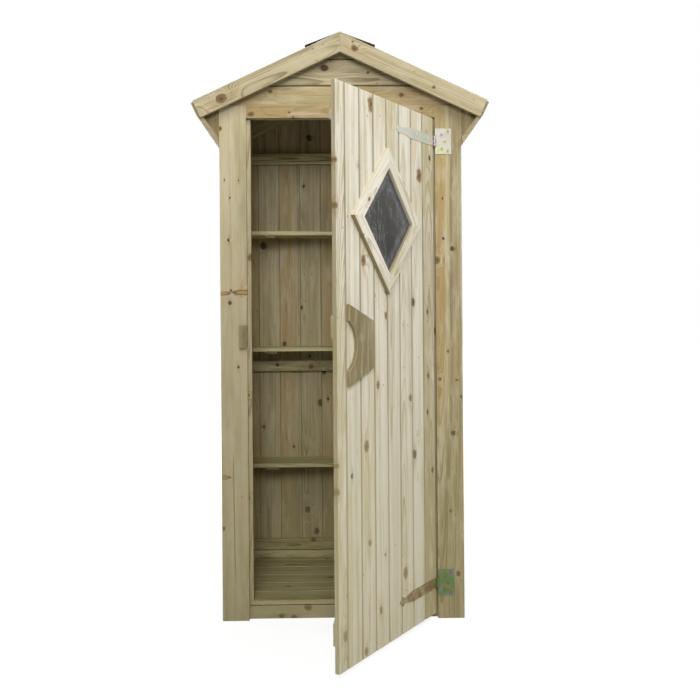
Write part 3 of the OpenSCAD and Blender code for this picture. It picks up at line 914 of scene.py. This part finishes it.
def diamond(inset):
    """The window's corners (x, z) with the door shut, drawn in by a width square to its sides"""
    low, high = box_of(cad_points("window_frame", SHUT))
    middle, half = (low + high) / 2, (high - low) / 2
    side = math.hypot(half.x, half.z)
    half_x = half.x - inset * side / half.z
    half_z = half.z - inset * side / half.x
    return [(middle.x + half_x, middle.z), (middle.x, middle.z + half_z), (middle.x - half_x, middle.z),
            (middle.x, middle.z - half_z)]


def make_door_boards():
    box = box_of(cad_points("door_boards", SHUT))
    # The sides of the door's boards, in the joints and at the door's edges, take dirt and painted shade
    panel("door_boards", Z, -Y, DOOR_JOINTS, box[0].z, box[1].z, box=box, knots=DOOR_KNOTS, within=OPENED,
          hole=[(z, -x) for x, z in diamond(FRAME_SLAT)], tones=DOOR_TONES, front=DOOR_BEVEL, sides=0.85)


def make_window_frame():
    """Four mitred slats, rebated behind for the sheet"""
    low, high = box_of(cad_points("window_frame", SHUT))
    outer, inner = ([Vector((x, low.y, z)) for x, z in diamond(inset)] for inset in (0, FRAME_SLAT))
    back, half, foot = low.y - high.y, FRAME_SLAT / 2, REBATE - FRAME_SLAT / 2
    outline = [(half - EDGE, 0), (half, -EDGE), (half, back), (foot, back), (foot, PANE_SEAT + back),
               (-half, PANE_SEAT + back), (-half, -EDGE), (EDGE - half, 0)]
    knots = ([], in_mm([(60, 4, 6, LIVE)]), [], [])
    timber = Timber("window_frame")
    # The slats' outer sides take painted shade, most on the lower-left slat, which faces down and away from the
    # light
    for i, tone, sides in zip(range(4), (-0.6, 2.5, 0.8, -0.8), (0.5, 0.5, 1.3, 0.8)):
        j = (i + 1) % 4
        along = (outer[j] - outer[i]).normalized()
        outside = 1 if (-Y).cross(along).dot(outer[i] - inner[i]) > 0 else -1
        at = (outer[i] + outer[j] + inner[i] + inner[j]) / 4

        def mitre(k):
            ends = [(p[k] - at).dot(along) for p in (inner, outer)]
            return lambda v, w: ends[0] + (ends[1] - ends[0]) * (outside * v / half + 1) / 2

        slat = extruded([(outside * v, w) for v, w in outline], mitre(i), mitre(j))
        timber.add(slat, OPENED @ placing_of(along, -Y, at), knots[i], FRAME_SLAT, tone, sides=sides)
    timber.finish()


# ---- plain timber

CORNER_LEFT_KNOTS = [
    (-429, 1755, 6, LIVE), (-415, 1572, 2, DEAD), (-364, 1570, 2, DEAD), (-396, 1508, 2.5, DEAD),
    (-402, 1357, 4, DEAD), (-424, 1168, 10, SPIKE), (-354, 1171, 12, SPIKE), (-398, 1134, 6, DEAD),
    (-394, 1178, 4, LIVE), (-424, 512, 9, SPIKE), (-370, 905, 4, DEAD), (-425, 330, 5, LIVE),
]
CORNER_RIGHT_KNOTS = [
    (396, 1322, 6, DEAD), (365, 1359, 4, DEAD), (364, 1502, 3, DEAD), (342, 1281, 10, LIVE),
    (379, 955, 4, LIVE), (349, 856, 5, LIVE), (409, 852, 4, LIVE), (425, 793, 4, DEAD),
    (395, 662, 7, DEAD), (384, 384, 4, DEAD), (410, 159, 7, DEAD),
]
LINTEL_KNOTS = [(-318, 1806, 8, LIVE), (-183, 1812, 4, LIVE), (-168, 1794, 4, DEAD), (290, 1824, 5, LIVE)]
SILL_KNOTS = [(-223, 9, 7, DEAD), (-180, 5, 8, DEAD), (-129, 40, 10, LIVE), (180, 22, 6, LIVE)]
BACK_RAIL_KNOTS = [(-268, 880, 6, DEAD), (-126, 871, 9, LIVE), (-121, 138, 8, DEAD), (140, 1750, 7, LIVE)]
# The third of these rails, just under the middle shelf, is toned darker as painted shade of the shelf
BACK_RAIL_TONES = (0.0, 0.0, -4.0, 0.0)
BARGE_LEFT_KNOTS = [(-418, 1850, 14, LIVE)]
BARGE_RIGHT_KNOTS = [(51, 2025, 9, LIVE), (45, 2049, 2, DEAD), (330, 1888, 4, LIVE)]
SILL_GAP = 3 * MM
SPLIT = [(590, 0.3), (540, 1.8), (430, 2.8), (330, 3.2), (240, 2.2), (180, 1.2), (120, 0.3)]
SPLIT_DEPTH = 9 * MM


def split_along(bm, here):
    """The long drying split in the foot of the left corner board, a thin wedge"""
    drift = random.Random("split")
    path = [(-390 + (575 - z) * 0.012 + drift.uniform(-0.8, 0.8), z, width) for z, width in SPLIT]
    outline = [(x + width / 2, z) for x, z, width in path]
    outline += [(x - width / 2, z) for x, z, width in reversed(path)]
    points = [here.inverted() @ (Vector((x, 0, z)) * MM) for x, z in outline]
    return carved(bm, [(p.x, p.y) for p in points], SPLIT_DEPTH)


def lowered(bm, here):
    """The sill stands a little short of the floor, which leaves a dark line between them"""
    for vert in bm.verts:
        if vert.co.y > 0:
            vert.co.y -= SILL_GAP
    return bm


def rafter_run(corners):
    return slope(1 if sum(p.x for p in corners) > 0 else -1)[0]


def soffit_out(node, side):
    """Square to the soffit's underside, which runs from its lowest corner to its outermost one"""
    points = cad_points(node)
    foot = min(points, key=lambda p: p.z)
    toe = max(points, key=lambda p: side * p.x)
    run = Vector((toe.x - foot.x, 0, toe.z - foot.z)).normalized()
    return Vector((run.z, 0, -run.x)) * side


def brace_run():
    """Along one edge of the brace, from its lower end to its upper one"""
    points = cad_points("door_brace", SHUT)
    low, high = box_of(points)
    foot = min(p.x for p in points if p.z < low.z + 1 * MM)
    head = min(p.x for p in points if p.z > high.z - 1 * MM)
    return (Vector((head, 0, high.z)) - Vector((foot, 0, low.z))).normalized()


def make_floor_bearers():
    """Three bearers from front to back, and one along the back wall, seen as boards"""
    low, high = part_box("floor_bearers")
    rail_low, rail_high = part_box("back_rails")
    thick = rail_high.y - rail_low.y
    half, deep = thick / 2, low.z - high.z
    profile = [(half - EDGE, 0), (half, -EDGE), (half, deep), (-half, deep), (-half, -EDGE), (EDGE - half, 0)]
    bearers = [(Y, (x, 0, high.z), low.y, high.y - thick) for x in (low.x + half, 0, high.x - half)]
    bearers.append((X, (0, high.y - half, high.z), low.x, high.x))
    timber = Timber("floor_bearers")
    for along, at, start, end in bearers:
        knots = timber.wild_knots(0, end - start, thick)
        board = extruded(profile, square_cut(start), square_cut(end))
        timber.add(board, placing_of(along, Z, Vector(at)), knots, thick)
    timber.finish()


def make_plain_timber():
    plain_timber("corner_board_left", knots=CORNER_LEFT_KNOTS, edit=split_along, tone=3.2)
    plain_timber("corner_board_right", knots=CORNER_RIGHT_KNOTS, tone=-2.6)
    plain_timber("lintel", X, knots=LINTEL_KNOTS, tone=-3.0, heart=ALL_HEART)
    plain_timber("sill_board", X, knots=SILL_KNOTS, edit=lowered, tone=4.0)
    plain_timber("header", X)
    plain_timber("door_stop_left")
    plain_timber("door_stop_right")
    make_floor_bearers()
    plain_timber("side_rails", Y, Z)
    plain_timber("back_rails", X, knots=BACK_RAIL_KNOTS, tone=BACK_RAIL_TONES)
    plain_timber("shelf_cleats", Y, Z, chamfer=1.5 * MM)
    # Darkest tone: painted shade under the shelves
    plain_timber("shelf_battens", Y, -Z, chamfer=1 * MM, tone=-8.0)
    plain_timber("rafters", rafter_run, split=True)
    for name, side, knots in (("right", 1, BARGE_RIGHT_KNOTS), ("left", -1, BARGE_LEFT_KNOTS)):
        down = slope(side)[0]
        plain_timber("barge_front_" + name, down, -Y, knots=knots)
        plain_timber("barge_back_" + name, down, Y)
        plain_timber("fascia_" + name, Y, down)
        plain_timber("soffit_" + name, Y, soffit_out("soffit_" + name, side))
    # Dark tone: painted shade in the recess under the eaves
    plain_timber("eave_infills", chamfer=1 * MM, tone=-7.0, heart=NO_HEART)
    plain_timber("door_ledges", X, Y, placing=OPENED, tone=-6.0)
    plain_timber("door_brace", brace_run(), Y, placing=OPENED)
    plain_timber("door_handle", placing=OPENED, chamfer=1.5 * MM, knots=[], tone=-7.0, heart=NO_HEART)
    plain_timber("turn_button", hull=True, chamfer=2.5 * MM, knots=[], tone=-5.0)


make_walls()
make_front_gable()
make_floor_and_shelves()
make_roof_boards()
make_door_boards()
make_window_frame()
make_plain_timber()

# ---- metal, glass and felt

METAL = ("hinge_plates", "hinge_pins", "hinge_strap_upper", "hinge_strap_lower")
METAL_EDGE = 0.35 * MM
METAL_SHARP = math.radians(40)
PLATE_WIDTH = 58 * MM
PLATE_HEIGHT = 92 * MM
PLATE_SCREWS = ((0.78, 0.12), (0.39, 0.24), (0.58, 0.51), (0.39, 0.785), (0.78, 0.88))
STRAP_SCREWS = (67 * MM, 150 * MM)
SCREW, LEDGE_SCREW = 3.6 * MM, 3 * MM
NAIL, PIN, CLOUT = 2.4 * MM, 1.2 * MM, 4.5 * MM
SUNK = 0.3 * MM
BARGE_NAILS = ((-392, 1892), (470, 1844), (-60, 2040), (-250, 1948), (262, 1942))
FROM_EAVE = 8 * MM
FROM_END = 12 * MM
PAIR = (0.25, 0.75)
LEDGE_PAIR, LEDGE_SPREAD, LEDGE_END = (0.28, 0.72), 30 * MM, 8 * MM
CLOUT_SPACING, CLOUT_FROM_END, CLOUT_FROM_EDGE, CLOUT_LIFT = 96 * MM, 30 * MM, 22 * MM, 2.8 * MM
STRIP_REACH = 150 * MM
STRIP_THICK, STRIP_SEAT = 3 * MM, 0.2 * MM
STRIP_ROWS = 36
STRIP_BEND = (0.03, 0.08, 0.25, 0.5, 0.75, 0.97, 1.0)
STRIP_TRIM, STRIP_WAVE, STRIP_RIPPLE = 0.6 * MM, 1.5 * MM, 0.5 * MM
CREST_EASE, CREST_WIDTH = 0.3 * MM, 6 * MM
AROUND = [math.tau * i / 24 for i in range(24)]


def circle(radius):
    return [(radius * math.cos(angle), radius * math.sin(angle)) for angle in AROUND]


def cross(reach):
    """The outline of a plus sign, in 24 points that face those of a circle"""
    half = 0.3 * reach
    corners = []
    for turn in range(4):
        quarter = Matrix.Rotation(turn * math.pi / 2, 2)
        corners += [quarter @ Vector(p) for p in ((reach, -half), (reach, half), (half, half))]
    points = []
    for here, after in zip(corners, corners[1:] + corners[:1]):
        points += [here, (here + after) / 2]
    return points[1:] + points[:1]


class Fittings:
    """Screw and nail heads on one body, gathered in one piece"""

    def __init__(self, name, body, seed, material=MATERIALS["zinc_plate"]):
        self.name = name
        self.body = body
        self.material = material
        self.rng = random.Random(seed)
        self.bm = bmesh.new()

    def turned(self, at, out, *rings):
        """A turned part: rings of (outline, height), the last one closed"""
        side = Matrix.Rotation(self.rng.uniform(0, math.tau), 3, out) @ out.orthogonal().normalized()
        up = out.cross(side)
        rings = [[self.bm.verts.new(at + side * x + up * y + out * height) for x, y in outline]
                 for outline, height in rings]
        bridge(self.bm, rings)
        self.bm.faces.new(rings[-1])

    def screw(self, at, out, radius=SCREW):
        """A pan head with a cross recess"""
        self.turned(at, out, (circle(radius), -SUNK), (circle(radius), 0.25 * radius),
                    (circle(0.8 * radius), 0.5 * radius), (cross(0.58 * radius), 0.55 * radius),
                    (cross(0.46 * radius), 0.05 * radius))

    def nail(self, at, out, radius=NAIL):
        """A flat head, a little domed"""
        self.turned(at, out, (circle(radius), -SUNK), (circle(radius), 0.15 * MM),
                    (circle(0.8 * radius), 0.4 * MM), (circle(0.3 * radius), 0.5 * MM))

    def nail_boards(self, out, joints, cover, lines, place):
        """Two nails in each board at each line across them. place(across, line) says where they are."""
        for joint in joints:
            for line in lines:
                for share in PAIR:
                    self.nail(Vector(place(joint - share * cover, line)), out)

    def finish(self):
        bmesh.ops.recalc_face_normals(self.bm, faces=self.bm.faces)
        piece = link_bmesh(self.name, self.bm)
        piece.data.materials.append(self.material)
        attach(piece, self.body)
        return piece


def fasten_hinges(cabinet, door):
    low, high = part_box("hinge_plates")
    for top in (high.z, low.z + PLATE_HEIGHT):
        for across, down in PLATE_SCREWS:
            at = Vector((high.x - (1 - across) * PLATE_WIDTH, low.y, top - down * PLATE_HEIGHT))
            cabinet.screw(at, -Y)
    for node in ("hinge_strap_upper", "hinge_strap_lower"):
        low, high = box_of(cad_points(node, SHUT))
        for away in STRAP_SCREWS:
            at = Vector((AXIS.x - away, low.y, (low.z + high.z) / 2))
            door.screw(OPENED @ at, OPENED.to_3x3() @ -Y)


def nail_walls(cabinet):
    """At each of the battens inside, apart from the one on the floor"""
    rails = [box_of(corners) for corners, faces in solids("back_rails")][1:]
    heights = [(low.z + high.z) / 2 for low, high in rails]
    low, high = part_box("back_wall")
    joints = every_board(low.x + 0.5 * COVER, high.x - 0.2 * COVER, WALL_JOINT)
    cabinet.nail_boards(Y, joints, COVER, heights, lambda x, z: (x, high.y, z))
    for node, out in (("side_wall_left", -X), ("side_wall_right", X)):
        low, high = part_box(node)
        face = low.x if out.x < 0 else high.x
        joints = every_board(low.y + 0.5 * COVER, high.y, low.y + SIDE_FIRST_BOARD)
        cabinet.nail_boards(out, joints, COVER, heights, lambda y, z: (face, y, z))


def nail_roof(cabinet):
    """Two nails in each roof board over each rafter, and halfway between the rafters"""
    rafters = [sum(p.y for p in corners) / len(corners) for corners, faces in solids("rafters")]
    front, back = round(min(rafters), 3), round(max(rafters), 3)
    for side in (1, -1):
        down, out = slope(side)
        reach = COVER * 0.3
        while reach < SLOPE_LENGTH - FROM_EAVE:
            if reach > STRIP_REACH:
                for y in (front, (front + back) / 2, back):
                    cabinet.nail(Z * RIDGE.z + down * reach + Y * y, out)
            reach += COVER / 2


def nail_front(cabinet):
    """Nails through the barge boards at the front"""
    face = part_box("barge_front_left")[0].y
    for x, z in BARGE_NAILS:
        cabinet.nail(Vector((x * MM, face, z * MM)), -Y)


def nail_floor(cabinet):
    low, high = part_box("floor_boards")
    joints = every_board(low.y + 0.4 * FLOOR_COVER, high.y, FLOOR_JOINT, FLOOR_COVER)
    cabinet.nail_boards(Z, joints, FLOOR_COVER, (low.x + FROM_END, 0, high.x - FROM_END),
                        lambda y, x: (x, y, high.z))


def fasten_door(door):
    """Screws through the ledges from behind, and pins in the window frame"""
    out = OPENED.to_3x3() @ Y
    for corners, faces in solids("door_ledges", SHUT):
        low, high = box_of(corners)
        for joint in DOOR_JOINTS:
            for share in LEDGE_PAIR:
                x = joint - COVER / 2 + (share - 0.5) * LEDGE_SPREAD
                if low.x + LEDGE_END < x < high.x - LEDGE_END:
                    at = Vector((x, high.y, low.z + share * (high.z - low.z)))
                    door.screw(OPENED @ at, out, LEDGE_SCREW)
    face = box_of(cad_points("window_frame", SHUT))[0].y
    line = diamond(FRAME_SLAT * 0.42)
    for here, after in zip(line, line[1:] + line[:1]):
        for share in (0.12, 0.36, 0.64, 0.88):
            x, z = (a + (b - a) * share for a, b in zip(here, after))
            door.nail(OPENED @ Vector((x, face, z)), -out, PIN)


def make_button_screw():
    """The spacer, the shank and the head of the turn button's screw, inside the CAD screw's box"""
    low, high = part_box("button_screw")
    bar_low, bar_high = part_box("turn_button")
    radius = (high.x - low.x) / 2
    top = high.y - low.y
    head = bar_low.y - low.y
    foot = high.y - bar_high.y
    neck = top - head
    shank = circle(0.4 * radius)
    rim = circle(0.92 * radius)
    middle = (low + high) / 2
    at = Vector((middle.x, high.y, middle.z))
    piece = Fittings("button_screw_turned", BODIES["button_screw"], 5)
    piece.turned(at, -Y, (circle(radius), 0), (circle(radius), foot - 0.9 * MM),
                 (circle(0.9 * radius), foot - 0.5 * MM), (shank, foot - 0.4 * MM), (shank, neck + 0.1 * MM))
    piece.turned(at, -Y, (shank, neck + 0.1 * MM), (rim, neck + 0.2 * MM), (rim, top - 0.5 * head),
                 (circle(0.7 * radius), top), (cross(0.5 * radius), top - 0.02 * MM),
                 (cross(0.4 * radius), top - 0.7 * head))
    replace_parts(piece.finish(), "button_screw")


def ridge_strip_slope():
    """The strip is stiff, so it slopes less than the roof. Its pitch, and its width down one side"""
    foot = min(cad_points("ridge_strip"), key=lambda p: p.z)
    return math.atan2(RIDGE.z - foot.z, abs(foot.x)), math.hypot(RIDGE.z - foot.z, foot.x)


def make_ridge_strip():
    """The felt strip bent over the ridge, with wavy edges"""
    low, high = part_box("ridge_strip")
    pitch, reach = ridge_strip_slope()
    down, off = math.sin(pitch), math.cos(pitch)
    rng = random.Random("ridge_strip")
    bm = bmesh.new()
    bend = [-share for share in reversed(STRIP_BEND)] + [0.0, *STRIP_BEND]
    rows = range(STRIP_ROWS + 1)
    waves = [[rng.uniform(0, 1) for i in rows] for side in range(2)]

    def point(i, share, lift):
        side = 1 if share >= 0 else -1
        away = abs(share) * (reach - STRIP_WAVE * waves[side > 0][i] - STRIP_TRIM)
        y = low.y + (high.y - low.y) * i / STRIP_ROWS
        if lift == STRIP_THICK:
            round_off = CREST_EASE * math.exp(-(away / CREST_WIDTH) ** 2)
            ripple = STRIP_RIPPLE * (math.sin(i * 0.9 + 2 * side) - 1) * share ** 2
        else:
            round_off = ripple = 0
        if away > 0:
            up = lift + ripple
            return side * (off * away + down * up), y, RIDGE.z - down * away + off * up - round_off
        return 0, y, RIDGE.z + lift / off - round_off

    rings = []
    for i in rows:
        top, bottom = ([bm.verts.new(point(i, share, lift)) for share in bend]
                       for lift in (STRIP_THICK, STRIP_SEAT))
        rings.append(top + bottom[::-1])
    bridge(bm, rings)
    for ring in (rings[0], rings[-1]):
        for j in range(len(bend) - 1):
            bm.faces.new((ring[j], ring[j + 1], ring[-j - 2], ring[-j - 1]))
    bmesh.ops.recalc_face_normals(bm, faces=bm.faces)
    stand_for("ridge_strip", link_bmesh("ridge_felt", bm))


def nail_ridge(cabinet):
    """Clout nails along both edges of the felt"""
    low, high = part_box("ridge_strip")
    pitch, reach = ridge_strip_slope()
    y = low.y + CLOUT_FROM_END
    while y < high.y:
        for side in (1, -1):
            down, out = slope(side, pitch)
            at = Vector((0, y, RIDGE.z)) + down * (reach - CLOUT_FROM_EDGE) + out * CLOUT_LIFT
            cabinet.nail(at, out, CLOUT)
        y += CLOUT_SPACING


def ease_edges(node):
    """CAD metal keeps its mesh, and gets fine rounded edges"""
    piece = frame["nodes"][node]
    weld = piece.modifiers.new("weld", "WELD")
    weld.merge_threshold = WELD
    bevel = piece.modifiers.new("edges", "BEVEL")
    bevel.width = METAL_EDGE
    bevel.segments = 2
    bevel.limit_method = "ANGLE"
    bevel.angle_limit = METAL_SHARP


def fasten():
    """The heads near the wood are dull, and those on the hinges are plated as the hinges are"""
    dull = material("nail_metal", nail_metal)
    cabinet_screws = Fittings("cabinet_screws", "cabinet", 11)
    door_screws = Fittings("door_screws", "door", 12)
    fasten_hinges(cabinet_screws, door_screws)
    cabinet = Fittings("cabinet_nails", "cabinet", 13, dull)
    for nail in (nail_walls, nail_roof, nail_front, nail_floor, nail_ridge):
        nail(cabinet)
    door = Fittings("door_nails", "door", 14, dull)
    fasten_door(door)
    for group in (cabinet_screws, door_screws, cabinet, door):
        group.finish()


make_button_screw()
make_ridge_strip()
fasten()
for node in METAL:
    ease_edges(node)
for node in (*METAL, "window_pane"):
    part = frame["nodes"][node]
    part.data.materials.clear()
    part.data.materials.append(MATERIALS[SLOTS[node]])
